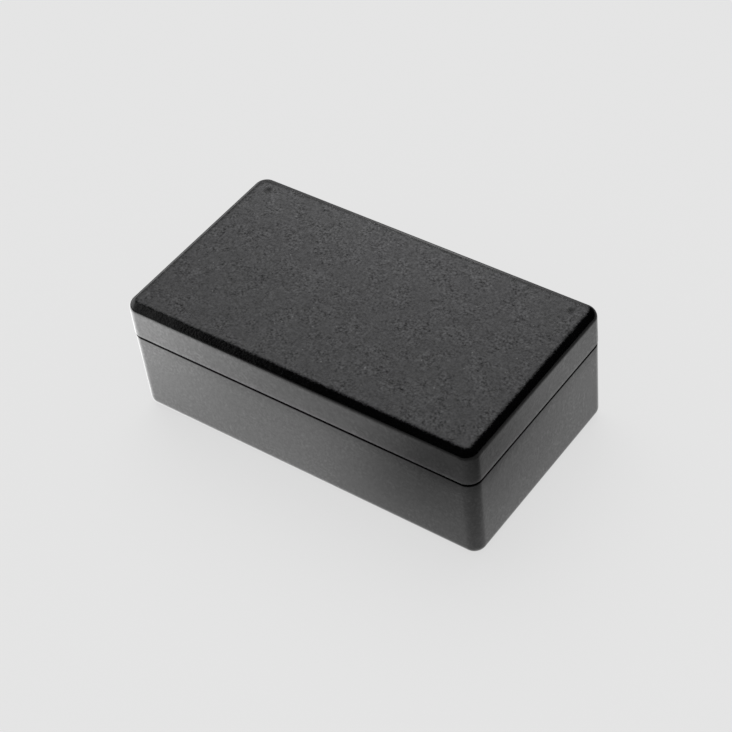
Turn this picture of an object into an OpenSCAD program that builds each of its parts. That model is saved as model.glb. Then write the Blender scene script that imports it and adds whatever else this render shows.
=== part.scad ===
// Two-part moulded project box: a deep base and a shallow lid that meet at a shadow gap
// all round, held by four screws driven up from the underside into pillars in the corners.
// Millimetres. The origin is the centre of the underside, +X runs along the length and +Z is up.

/* [Case] */
// Length of the closed case
case_l = 90; // [70:1:160]
// Width of the closed case
case_w = 50; // [40:1:100]
// Height of the base, from the underside to the middle of the seam
base_h = 22; // [17:0.5:60]
// Height of the lid, from the middle of the seam to the top face
lid_h = 9; // [8:0.5:30]
// Thickness of the side walls
wall = 2; // [1.6:0.1:2.5]
// Thickness of the base's floor
floor_t = 2; // [1.2:0.1:4]
// Thickness of the lid's top panel
top_t = 2; // [1.2:0.1:3]

/* [Edges] */
// Radius of the upright corners at the seam
corner_r = 3.2; // [3:0.1:10]
// Radius of the edge round the top face
top_edge_r = 2; // [0.5:0.1:2.8]
// Radius of the edge round the underside
bottom_edge_r = 2.5; // [0.5:0.1:2.8]
// Radius of the edges round the floor and the ceiling inside
inner_edge_r = 0.6; // [0.2:0.1:1.5]
// Taper of the base's walls, inwards from the seam down to the underside
base_draft = 0.15; // [0:0.05:0.3]
// Taper of the lid's walls, inwards from the seam up to the top
lid_draft = 0.05; // [0:0.05:0.3]

/* [Seam] */
// Height of the open groove between base and lid on the outside
seam_gap = 0.5; // [0.1:0.05:1]
// How far the lid stands proud of the base at the seam
lid_overhang = 0.1; // [0:0.05:0.3]
// Radius on the outer edge of the base's rim
base_lip_r = 0.4; // [0.1:0.1:0.8]
// Radius on the outer edge of the lid's rim
lid_lip_r = 0.2; // [0.1:0.1:0.8]
// Height of the tongue on the base's rim above the middle of the seam
tongue_h = 1.5; // [0.8:0.1:3]
// Thickness of the tongue
tongue_t = 1; // [0.6:0.1:1.2]
// Clearance beside the tongue in the lid's rebate
tongue_clear = 0.1; // [0.05:0.05:0.3]

/* [Screws] */
// Distance of each screw from the end face of the case
screw_inset_x = 5; // [4.5:0.1:12]
// Distance of each screw from the side face of the case
screw_inset_y = 4.4; // [4.2:0.1:12]
// Length of a screw under its head
screw_len = 16; // [13:0.5:17]
// Core diameter of a screw's thread
screw_core_d = 2.1; // [1.6:0.1:2.6]
// Diameter of a screw's head
head_d = 4.6; // [3.8:0.1:5]
// Height of a screw's head
head_h = 1.8; // [1.2:0.1:2.4]
// Length of base pillar that a screw clamps under its head
clamp_len = 11; // [8:0.5:12]

/* [Screw pillars] */
// Thickness of pillar wall round each screw well
well_wall = 1.2; // [0.8:0.1:2]
// Clearance round a screw's head in its well
head_clear = 0.3; // [0.1:0.05:0.5]
// Diameter of the clearance hole through each base pillar
shank_hole_d = 3; // [2.8:0.1:3.4]
// Clearance round a screw's core in its pilot hole
core_clear = 0.05; // [0.02:0.01:0.1]
// Spare depth of a pilot hole past the screw's point
tip_clear = 1; // [0.3:0.1:1.4]
// Gap between base pillar and lid pillar, so that the rim closes first
pillar_gap = 0.2; // [0:0.05:0.5]
// Diameter of the sink mark over each pillar, on the top face
sink_d = 2.4; // [1:0.1:4]
// Depth of the sink mark
sink_depth = 0.1; // [0.02:0.01:0.2]

/* [Board bosses] */
// Distance of each boss from the end face of the case
boss_inset_x = 14; // [12:0.5:30]
// Distance of each boss from the side face of the case
boss_inset_y = 9; // [7:0.5:18]
// Height of a boss above the floor
boss_h = 4; // [2:0.5:8]
// Diameter of a boss
boss_d = 5; // [4:0.1:7]
// Diameter of the pilot hole in a boss
boss_hole_d = 1.9; // [1.5:0.1:3]
// Depth of the pilot hole in a boss
boss_hole_depth = 4.5; // [2:0.1:5]

/* [Board guides] */
// Distance of each guide slot from the end face of the case
guide_inset = 25; // [20:0.5:34]
// Width of a guide slot
guide_slot = 1.8; // [1:0.1:3]
// Width of the rib on each side of a slot
guide_rib = 1.2; // [0.8:0.1:3]
// How far a guide rib stands in from the wall at the seam
guide_depth = 1.5; // [0.8:0.1:3]
// Drop of a guide rib's top below the seam
guide_drop = 2; // [0.5:0.5:10]

/* [Hidden] */
$fn = 96;
// Overrun of a cutting tool past the face that it opens
cut = 1;

case_h = base_h + lid_h;
shell_colour = [0.15, 0.15, 0.155];
screw_colour = [0.62, 0.62, 0.6];

// The walls' sections are drawn as (u, z), where u is measured outwards from the upright line
// that a corner turns about. These half sizes place the four lines.
turn_x = case_l / 2 - corner_r;
turn_y = case_w / 2 - corner_r;

// Base rim, from outside to inside
base_u = corner_r - lid_overhang;
base_in_u = base_u - wall;
tongue_u = base_in_u + tongue_t;
shoulder_z = base_h - seam_gap / 2;
tongue_z = base_h + tongue_h;

// Lid rim
lid_z = base_h + seam_gap / 2;
lid_in_u = corner_r - wall;
ceiling_z = case_h - top_t;

// Screws and their pillars
screw_x = case_l / 2 - screw_inset_x;
screw_y = case_w / 2 - screw_inset_y;
seat_z = base_h - clamp_len;
well_d = head_d + 2 * head_clear;
pillar_d = well_d + 2 * well_wall;
pilot_d = screw_core_d + 2 * core_clear;
lid_pillar_z = base_h + pillar_gap;
pilot_z = seat_z + screw_len + tip_clear;
tip_len = screw_core_d;
sink_ball_r = (pow(sink_d / 2, 2) + pow(sink_depth, 2)) / (2 * sink_depth);

// Cross recess of a screw's head
recess_l = head_d * 0.56;
recess_w = head_d * 0.13;
recess_depth = head_h * 0.6;
head_dome_r = head_d * 0.85;

// Board bosses and guides
boss_x = case_l / 2 - boss_inset_x;
boss_y = case_w / 2 - boss_inset_y;
boss_z = floor_t + boss_h;
guide_x = case_l / 2 - guide_inset;
guide_y = turn_y + base_in_u - guide_depth;
guide_z = base_h - guide_drop;

// Repeats the child in the four quadrants at (x, y).
module in_quadrants(x, y) {
    for (sx = [-1, 1], sy = [-1, 1]) translate([sx * x, sy * y, 0]) children();
}

// Section of a drafted wall that fills in to the line its corners turn about: u_start wide at
// z = 0, u_end wide at z = height, with an edge of radius r at z = 0, and one of radius lip_r at
// z = height where it has a lip. Each arc is tangent to the wall and to its level face.
module wall_section(u_start, u_end, height, r, lip_r = 0) {
    lean = atan((u_end - u_start) / height);
    edge_r = min(r, 0.95 * u_start);
    arc_u = u_start - edge_r * (1 - sin(lean)) / cos(lean);
    touch = [arc_u + edge_r * cos(lean), edge_r * (1 - sin(lean))];
    lip_u = u_end - lip_r * (1 + sin(lean)) / cos(lean);
    lip_touch = [lip_u + lip_r * cos(lean), height - lip_r * (1 + sin(lean))];
    rim = lip_r > 0 ? [lip_touch, [lip_u, height]] : [[u_end, height]];
    polygon(concat([[0, 0], [arc_u, 0], touch], rim, [[0, height]]));
    intersection() {
        translate([arc_u, edge_r]) circle(edge_r);
        square([u_start + edge_r, height]);
    }
    if (lip_r > 0) translate([lip_u, height - lip_r]) circle(lip_r);
}

// Carries a section round the case: along each side, and a quarter turn at each corner.
module carried_round() {
    for (i = [0 : 3]) {
        half = i % 2 == 0 ? [turn_x, turn_y] : [turn_y, turn_x];
        rotate(90 * i) translate([half.x, half.y, 0]) {
            rotate_extrude(angle = 90) children();
            rotate([90, 0, 0]) linear_extrude(2 * half.y) children();
        }
    }
}

// Solid with the given section all round, closed across the middle from z_low to z_high.
module rounded_block(z_low, z_high) {
    carried_round() children();
    translate([-turn_x, -turn_y, z_low]) cube([2 * turn_x, 2 * turn_y, z_high - z_low]);
}

// ---- Base ----

module base_outside() {
    rounded_block(0, tongue_z) {
        wall_section(base_u - base_draft, base_u, shoulder_z, bottom_edge_r, base_lip_r);
        translate([0, shoulder_z]) square([tongue_u, tongue_z - shoulder_z]);
    }
}

module base_cavity() {
    height = shoulder_z - floor_t;
    rounded_block(floor_t, tongue_z + cut) {
        translate([0, floor_t]) wall_section(base_in_u - base_draft, base_in_u, height, inner_edge_r);
        translate([0, shoulder_z]) square([base_in_u, tongue_z + cut - shoulder_z]);
    }
}

// Pair of ribs that hold the edge of a board standing across the case, on both long walls.
module board_guide() {
    for (side = [-1, 1], edge = [-1, 1])
        translate([edge * (guide_slot + guide_rib) / 2, side * guide_y, 0])
            translate([-guide_rib / 2, side < 0 ? -wall - guide_depth : 0, 0])
                cube([guide_rib, wall + guide_depth, guide_z]);
}

// What stands in the base's cavity
module base_inside() {
    in_quadrants(screw_x, screw_y) cylinder(d = pillar_d, h = base_h);
    in_quadrants(boss_x, boss_y) cylinder(d = boss_d, h = boss_z);
    for (side = [-1, 1]) translate([side * guide_x, 0, 0]) board_guide();
}

module base() {
    color(shell_colour) difference() {
        base_outside();
        difference() {
            base_cavity();
            base_inside();
        }
        in_quadrants(screw_x, screw_y) {
            translate([0, 0, -cut]) cylinder(d = well_d, h = seat_z + cut);
            cylinder(d = shank_hole_d, h = base_h + cut);
        }
        in_quadrants(boss_x, boss_y)
            translate([0, 0, boss_z - boss_hole_depth]) cylinder(d = boss_hole_d, h = boss_hole_depth + cut);
    }
}

// ---- Lid ----

module lid_outside() {
    height = case_h - lid_z;
    rounded_block(lid_z, case_h)
        translate([0, case_h]) mirror([0, 1])
            wall_section(corner_r - lid_draft, corner_r, height, top_edge_r, lid_lip_r);
}

module lid_cavity() {
    height = ceiling_z - lid_z + cut;
    rounded_block(lid_z - cut, ceiling_z)
        translate([0, ceiling_z]) mirror([0, 1])
            wall_section(lid_in_u - lid_draft, lid_in_u, height, inner_edge_r);
}

// Room for the base's tongue
module tongue_rebate() {
    low = base_in_u - tongue_clear;
    high = tongue_u + tongue_clear;
    carried_round() translate([low, lid_z - cut]) square([high - low, tongue_z - lid_z + cut]);
}

module lid() {
    color(shell_colour) difference() {
        lid_outside();
        difference() {
            lid_cavity();
            in_quadrants(screw_x, screw_y)
                translate([0, 0, lid_pillar_z]) cylinder(d = pillar_d, h = lid_h);
        }
        tongue_rebate();
        in_quadrants(screw_x, screw_y) {
            translate([0, 0, lid_z - cut]) cylinder(d = pilot_d, h = pilot_z - lid_z + cut);
            translate([0, 0, case_h - sink_depth + sink_ball_r]) sphere(sink_ball_r);
        }
    }
}

// ---- Screws ----

// Pan-head screw standing on its head: the seat under the head is at z = 0 and the point is up.
module screw() {
    difference() {
        intersection() {
            translate([0, 0, -head_h]) cylinder(d = head_d, h = head_h);
            translate([0, 0, head_dome_r - head_h]) sphere(head_dome_r);
        }
        for (turn = [0, 90]) rotate(turn)
            translate([-recess_l / 2, -recess_w / 2, -head_h - cut])
                cube([recess_l, recess_w, recess_depth + cut]);
    }
    cylinder(d = screw_core_d, h = screw_len - tip_len);
    translate([0, 0, screw_len - tip_len]) cylinder(d1 = screw_core_d, d2 = 0, h = tip_len);
}

module case_screws() {
    color(screw_colour) in_quadrants(screw_x, screw_y) translate([0, 0, seat_z]) screw();
}

base();
lid();
case_screws();
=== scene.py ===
"""Looks of a moulded project box: a deep base and a shallow lid that meet at a shadow gap.

Both shells are one section carried round a rectangle with turned corners. The lid's top panel is
spark-eroded to a fine matt grain, and every radius and wall beside it is left as polished as the
mould. Millimetres are used throughout and scaled to metres when a mesh is finished.
"""

import logging
import math
from dataclasses import dataclass
from enum import Enum

import bmesh
import bpy
import numpy as np
from mathutils import Matrix

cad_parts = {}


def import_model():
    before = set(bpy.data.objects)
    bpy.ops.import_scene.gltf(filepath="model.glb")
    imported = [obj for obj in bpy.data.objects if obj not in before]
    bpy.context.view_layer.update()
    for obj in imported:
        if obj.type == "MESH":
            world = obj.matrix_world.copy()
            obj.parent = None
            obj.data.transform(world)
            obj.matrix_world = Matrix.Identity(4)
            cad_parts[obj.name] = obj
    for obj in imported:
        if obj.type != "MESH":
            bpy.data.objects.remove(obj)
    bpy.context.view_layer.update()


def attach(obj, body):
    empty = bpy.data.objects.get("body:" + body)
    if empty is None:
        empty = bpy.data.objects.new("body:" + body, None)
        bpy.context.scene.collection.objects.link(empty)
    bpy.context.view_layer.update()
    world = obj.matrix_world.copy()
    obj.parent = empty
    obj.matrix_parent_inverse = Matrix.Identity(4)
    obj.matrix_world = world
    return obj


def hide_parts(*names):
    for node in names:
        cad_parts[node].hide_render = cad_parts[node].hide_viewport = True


MM = 0.001
log = logging.getLogger("project_box")

Pair = tuple[float, float]
Triple = tuple[float, float, float]
Surface = tuple[np.ndarray, np.ndarray]
Fade = tuple[float, float, float, float]
Axes = tuple[np.ndarray, np.ndarray, np.ndarray]
Socket = bpy.types.NodeSocket

WHITE = (1.0, 1.0, 1.0, 1.0)
WELD_GAP = 0.0001
# Parts of a wall's straight run, and the share of it at which the first starts.
WALL_PARTS = 6
WALL_START = 0.02
# How far the grained panel runs past the turn lines, and the depth at which it ends, in mm.
PANEL_REACH = 1.22
PANEL_DROP = 0.5


class Blend(Enum):
    """Ways of combining two closed solids."""

    JOIN = "UNION"
    CUT = "DIFFERENCE"
    KEEP = "INTERSECT"


class Rest(Enum):
    """Ends of a wall's section at which its edge radius may lie."""

    LOW = 1
    HIGH = -1


# ---- Surfaces worked out as arrays ----


def arc(centre: Pair, radius: float, start: float, end: float, steps: int) -> np.ndarray:
    """Works out points of a circular arc in the (u, z) plane of a section.

    The point at angle a is centre + radius * (cos a, sin a), with a running evenly from start to end.

    Args:
        centre: Centre of the arc in mm.
        radius: Radius in mm.
        start: First angle in degrees.
        end: Last angle in degrees.
        steps: Number of chords.

    Returns:
        An array of steps + 1 points.
    """
    angle = np.radians(np.linspace(start, end, steps + 1))
    return np.stack([centre[0] + radius * np.cos(angle), centre[1] + radius * np.sin(angle)], axis=1)


def line(start: Pair, end: Pair, steps: int = 1) -> np.ndarray:
    """Works out points of a straight run in a section, at even spacing with both ends.

    Args:
        start: First (u, z) point in mm.
        end: Last (u, z) point in mm.
        steps: Number of parts that the run is divided into.

    Returns:
        An array of steps + 1 points.
    """
    share = np.linspace(0.0, 1.0, steps + 1)[:, None]
    return (1.0 - share) * np.array(start) + share * np.array(end)


def stations(half: float, bands: tuple[tuple[float, float, int], ...]) -> np.ndarray:
    """Works out places along one side, mirrored about its middle.

    Args:
        half: Half length of the side in mm.
        bands: Each is (from, to, parts) on the positive half, and closely divided where a pillar stands.

    Returns:
        Sorted places from -half to half, each of them once.
    """
    runs = [np.linspace(low, high, parts + 1) for low, high, parts in bands]
    positive = np.unique(np.round(np.concatenate(runs + [np.array([0.0, half])]), 6))
    return np.unique(np.concatenate([-positive, positive]))


@dataclass(frozen=True)
class TurnPath:
    """The rectangle that sections are carried round, with a quarter turn at each corner.

    Attributes:
        along_x: Places at which the two long sides are divided, in mm.
        along_y: Places at which the two short sides are divided, in mm.
        turn_steps: Chords in each quarter turn.
    """

    along_x: np.ndarray
    along_y: np.ndarray
    turn_steps: int = 24

    def feet_and_ways(self) -> tuple[np.ndarray, np.ndarray]:
        """Works out the path's points and the outward way at each of them.

        A side's points are its places, all with the side's own way. At a corner the point stays
        and the way turns through a quarter circle in even steps.

        Returns:
            The points and the unit ways, both (n, 2), anticlockwise from the +X side.
        """
        half_x = self.along_x[-1]
        half_y = self.along_y[-1]
        turn = np.radians(np.linspace(0.0, 90.0, self.turn_steps + 1)[1:-1])
        feet = []
        ways = []
        for quarter in range(4):
            along = self.along_y if quarter % 2 == 0 else self.along_x
            reach = half_x if quarter % 2 == 0 else half_y
            heading = math.radians(90.0 * quarter)
            out = np.array([math.cos(heading), math.sin(heading)])
            side = np.array([-math.sin(heading), math.cos(heading)])
            feet.append(reach * out + along[:, None] * side)
            ways.append(np.tile(out, (len(along), 1)))
            corner = reach * out + along[-1] * side
            feet.append(np.tile(corner, (len(turn), 1)))
            ways.append(np.stack([np.cos(heading + turn), np.sin(heading + turn)], axis=1))
        return np.concatenate(feet), np.concatenate(ways)

    def carried(self, section: np.ndarray) -> Surface:
        """Carries a section round the path.

        The point for row i and place j is foot_j + u_i * way_j, at height z_i.

        Args:
            section: Points (u, z) of the section in mm.

        Returns:
            Grid of points (rows, places, 3) and the four-sided faces between them, closed round
            the path but open across it.
        """
        feet, ways = self.feet_and_ways()
        flat = feet[None, :, :] + section[:, 0, None, None] * ways[None, :, :]
        tall = np.broadcast_to(section[:, 1, None, None], flat.shape[:2] + (1,))
        points = np.concatenate([flat, tall], axis=2)
        return points, grid_faces(points, wrap=True)

    def panel(self, height: float) -> Surface:
        """Fills the rectangle inside the path at one height, on the path's own places.

        Args:
            height: Height of the panel in mm.

        Returns:
            Grid of points (x places, y places, 3) and the faces between them.
        """
        x, y = np.meshgrid(self.along_x, self.along_y, indexing="ij")
        points = np.stack([x, y, np.full_like(x, height)], axis=2)
        return points, grid_faces(points, wrap=False)


def grid_faces(points: np.ndarray, wrap: bool) -> np.ndarray:
    """Joins a grid of points, numbered row by row, into four-sided faces.

    Args:
        points: Grid of points (rows, columns, 3).
        wrap: Whether the last column joins the first.

    Returns:
        Face corners (faces, 4): this point, the next in its row, and the two below them.
    """
    rows, columns = points.shape[:2]
    last = columns if wrap else columns - 1
    row, column = np.meshgrid(np.arange(rows - 1), np.arange(last), indexing="ij")
    after = (column + 1) % columns
    here = row * columns
    below = here + columns
    corners = [here + column, here + after, below + after, below + column]
    return np.stack(corners, axis=2).reshape(-1, 4)


def turned(section: np.ndarray, places: int, centre: Pair) -> Surface:
    """Turns a section about an upright line.

    The point for row i and angle a is centre + r_i * (cos a, sin a), at height z_i.

    Args:
        section: Points (r, z) in mm, starting and ending on the axis.
        places: Number of places round the turn.
        centre: Where the axis stands in mm.

    Returns:
        Grid of points (rows, places, 3) and the faces between them.
    """
    angle = np.linspace(0.0, 2.0 * math.pi, places, endpoint=False)
    x = centre[0] + section[:, 0, None] * np.cos(angle)[None, :]
    y = centre[1] + section[:, 0, None] * np.sin(angle)[None, :]
    z = np.broadcast_to(section[:, 1, None], x.shape)
    points = np.stack([x, y, z], axis=2)
    return points, grid_faces(points, wrap=True)


def block(low: Triple, high: Triple) -> Surface:
    """Works out a square-edged block from its lowest and highest corners.

    Args:
        low: Lowest corner in mm.
        high: Highest corner in mm.

    Returns:
        Its eight points and six faces.
    """
    square = np.array([(0.0, 0.0), (1.0, 0.0), (1.0, 1.0), (0.0, 1.0)])
    share = np.concatenate([np.insert(square, 2, level, axis=1) for level in (0.0, 1.0)])
    points = np.array(low) + share * (np.array(high) - np.array(low))
    faces = np.array([[0, 3, 2, 1], [4, 5, 6, 7], [0, 1, 5, 4], [1, 2, 6, 5], [2, 3, 7, 6], [3, 0, 4, 7]])
    return points, faces


def solid(name: str, parts: list[Surface]) -> bpy.types.Object:
    """Makes one closed mesh from surfaces whose borders coincide.

    Args:
        name: Name of the new object.
        parts: Points and faces of each surface, in mm.

    Returns:
        The object, welded along the borders and with its faces pointing outwards.
    """
    points = []
    faces = []
    count = 0
    for grid, corners in parts:
        flat = grid.reshape(-1, 3)
        points.append(flat)
        faces.append(corners + count)
        count += len(flat)
    mesh = bpy.data.meshes.new(name)
    mesh.from_pydata(np.concatenate(points), [], np.concatenate(faces))
    weld(mesh)
    made = bpy.data.objects.new(name, mesh)
    bpy.context.scene.collection.objects.link(made)
    return made


def weld(mesh: bpy.types.Mesh) -> None:
    """Merges points that coincide, drops faces with no area and turns every face outwards.

    Args:
        mesh: Closed mesh in mm.
    """
    work = bmesh.new()
    work.from_mesh(mesh)
    bmesh.ops.remove_doubles(work, verts=work.verts, dist=WELD_GAP)
    bmesh.ops.dissolve_degenerate(work, edges=work.edges, dist=WELD_GAP)
    bmesh.ops.recalc_face_normals(work, faces=work.faces)
    work.to_mesh(mesh)
    work.free()
    mesh.update()


def combine(body: bpy.types.Object, tool: bpy.types.Object, how: Blend) -> None:
    """Joins, cuts or keeps what is common to two closed solids, and removes the tool.

    Args:
        body: Solid that is changed.
        tool: Solid that changes it.
        how: Which of the three.
    """
    step = body.modifiers.new("combine", "BOOLEAN")
    step.operation = how.value
    step.solver = "EXACT"
    step.object = tool
    shaped = body.evaluated_get(bpy.context.evaluated_depsgraph_get())
    result = bpy.data.meshes.new_from_object(shaped)
    body.modifiers.remove(step)
    spent = [body.data, tool.data]
    body.data = result
    bpy.data.objects.remove(tool)
    for mesh in spent:
        bpy.data.meshes.remove(mesh)


def finish_mesh(piece: bpy.types.Object, sharp: float = 32.0) -> None:
    """Scales a piece to metres, and smooths it except across edges sharper than an angle.

    Args:
        piece: Object whose mesh is in mm.
        sharp: Angle in degrees past which an edge stays sharp.
    """
    weld(piece.data)
    piece.data.transform(Matrix.Scale(MM, 4))
    piece.data.shade_smooth()
    piece.data.set_sharp_from_angle(angle=math.radians(sharp))
    piece.data.update()


def wall_run(
    start: float, end: float, low: float, high: float, radius: float, rest: Rest, turns: int
) -> np.ndarray:
    """Works out a drafted wall with an edge radius at one end of it.

    The wall stands start out from the turn line at the end with the radius and end out from it at
    the other. It leans by the angle whose tangent is (end - start) / height, and the arc is tangent
    to that line and to the level face.

    Args:
        start: Distance out at the edge, before its radius is cut.
        end: Distance out at the far end.
        low: Lower height in mm.
        high: Upper height in mm.
        radius: Radius of the edge.
        rest: Which end has the radius.
        turns: Chords in the arc.

    Returns:
        Points (u, z) from the level face's side of the arc to the far end.
    """
    lean = math.atan((end - start) / (high - low))
    centre = start - radius * (1.0 - math.sin(lean)) / math.cos(lean)
    up = rest.value
    edge = low if rest is Rest.LOW else high
    far = high if rest is Rest.LOW else low
    bend = arc((centre, 0.0), radius, -90.0, -math.degrees(lean), turns)
    bend[:, 1] = edge + up * (radius + bend[:, 1])
    touch = (float(bend[-1, 0]), float(bend[-1, 1]))
    near = (touch[0] + WALL_START * (end - touch[0]), touch[1] + WALL_START * (far - touch[1]))
    return np.concatenate([bend, line(near, (end, far), WALL_PARTS)])


# ---- Effects that several finishes share ----


class Wiring:
    """Short ways of placing and joining nodes in one tree."""

    def __init__(self, tree: bpy.types.NodeTree) -> None:
        """Keeps the node tree of a material, a world or a group."""
        self.tree = tree

    @classmethod
    def group(cls, name: str, inputs: dict[str, Triple], outputs: tuple[str, ...]) -> "Wiring":
        """Starts a shader node group with number sockets.

        Args:
            name: Name of the group.
            inputs: Each input's start value, least and most.
            outputs: Names of the outputs.

        Returns:
            The wiring of the group, with its input and output nodes in place.
        """
        group = bpy.data.node_groups.new(name, "ShaderNodeTree")
        for label, (value, least, most) in inputs.items():
            socket = group.interface.new_socket(label, in_out="INPUT", socket_type="NodeSocketFloat")
            socket.default_value = value
            socket.min_value = least
            socket.max_value = most
        for label in outputs:
            group.interface.new_socket(label, in_out="OUTPUT", socket_type="NodeSocketFloat")
        group.nodes.new("NodeGroupInput").name = "in"
        group.nodes.new("NodeGroupOutput").name = "out"
        return cls(group)

    def given(self, label: str) -> Socket:
        """Returns one of the group's own inputs."""
        return self.tree.nodes["in"].outputs[label]

    def give(self, label: str, value: Socket) -> None:
        """Joins a value to one of the group's own outputs."""
        self.feed(self.tree.nodes["out"].inputs[label], value)

    def feed(self, socket: Socket, value: object) -> None:
        """Joins a socket to another's output, or sets its own value.

        Args:
            socket: Input socket.
            value: Output socket, number or sequence of numbers.
        """
        if isinstance(value, Socket):
            self.tree.links.new(value, socket)
        else:
            socket.default_value = value

    def node(self, kind: str, inputs: dict | None = None, **settings: object) -> bpy.types.Node:
        """Places a node, sets its properties and then feeds its inputs.

        Args:
            kind: Type name of the node.
            inputs: What its inputs get, by name or by place.
            **settings: Properties of the node.

        Returns:
            The new node.
        """
        made = self.tree.nodes.new(kind)
        for label, value in settings.items():
            setattr(made, label, value)
        for label, value in (inputs or {}).items():
            self.feed(made.inputs[label], value)
        return made

    def math(self, how: str, *values: object, clamp: bool = False) -> Socket:
        """Works out a Math node's operation on some values, kept from 0 to 1 if clamp is set."""
        made = self.node("ShaderNodeMath", dict(enumerate(values)), operation=how, use_clamp=clamp)
        return made.outputs[0]

    def vector(self, how: str, *values: object) -> bpy.types.Node:
        """Places a Vector Math node with an operation and some values."""
        return self.node("ShaderNodeVectorMath", dict(enumerate(values)), operation=how)

    def here(self) -> Socket:
        """Returns the object's own coordinates."""
        return self.node("ShaderNodeTexCoord").outputs["Object"]

    def split(self) -> bpy.types.Node:
        """Places a node that gives the object's own coordinates one by one."""
        return self.node("ShaderNodeSeparateXYZ", {0: self.here()})

    def past(self, coordinate: Socket, label: str) -> Socket:
        """Works out how far a coordinate, either way, lies past one of the group's own inputs."""
        return self.math("SUBTRACT", self.math("ABSOLUTE", coordinate), self.given(label))

    def length(self, along: Socket, across: Socket) -> Socket:
        """Works out the root of the sum of two squares."""
        squares = [self.math("MULTIPLY", side, side) for side in (along, across)]
        return self.math("SQRT", self.math("ADD", *squares))

    def centred(self, value: Socket) -> Socket:
        """Takes a half from a value that runs about a half."""
        return self.math("SUBTRACT", value, 0.5)

    def noise(self, place: Socket, scale: object, octaves: float, rough: float) -> Socket:
        """Works out noise from about 0.2 to 0.8, with scale features in a metre of the place."""
        inputs = {"Vector": place, "Scale": scale, "Detail": octaves, "Roughness": rough}
        return self.node("ShaderNodeTexNoise", inputs, noise_dimensions="3D").outputs["Fac"]

    def spread(self, value: object, low: float, high: float, to_low: float, to_high: float) -> Socket:
        """Maps a value smoothly from one range to another, and holds it at the ends."""
        inputs = {"Value": value, "From Min": low, "From Max": high, "To Min": to_low, "To Max": to_high}
        made = self.node("ShaderNodeMapRange", inputs, interpolation_type="SMOOTHSTEP", clamp=True)
        return made.outputs["Result"]

    def mixed(self, share: object, first: object, second: object) -> Socket:
        """Mixes two colours, and gives the second where the share is 1."""
        return self.node("ShaderNodeMix", {0: share, 6: first, 7: second}, data_type="RGBA").outputs[2]

    def chosen(self, share: object, first: object, second: object) -> Socket:
        """Mixes two numbers, and gives the second where the share is 1."""
        return self.node("ShaderNodeMix", {0: share, 2: first, 3: second}, data_type="FLOAT").outputs[0]

    def layered(self, share: object, first: Socket, second: Socket) -> Socket:
        """Mixes two shaders, and gives the second where the share is 1."""
        return self.node("ShaderNodeMixShader", {0: share, 1: first, 2: second}).outputs[0]

    def shiny(self, rays: bpy.types.Node) -> Socket:
        """Gives 1 for rays that gloss or glass sends out, from a Light Path node."""
        return self.math("MAXIMUM", rays.outputs["Is Glossy Ray"], rays.outputs["Is Transmission Ray"])

    def bump(self, shader: bpy.types.Node, height: Socket, relief: Pair) -> None:
        """Gives a shader a relief: the depth of a height of 1 in mm, and the shading's strength."""
        inputs = {"Height": height, "Distance": relief[0] * MM, "Strength": relief[1]}
        self.feed(shader.inputs["Normal"], self.node("ShaderNodeBump", inputs).outputs["Normal"])

    def effect(self, group: bpy.types.NodeTree, **values: float) -> bpy.types.Node:
        """Places a shared effect with its own values, in names with underscores for spaces."""
        inputs = {label.replace("_", " "): value for label, value in values.items()}
        return self.node("ShaderNodeGroup", inputs, node_tree=group)


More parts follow.
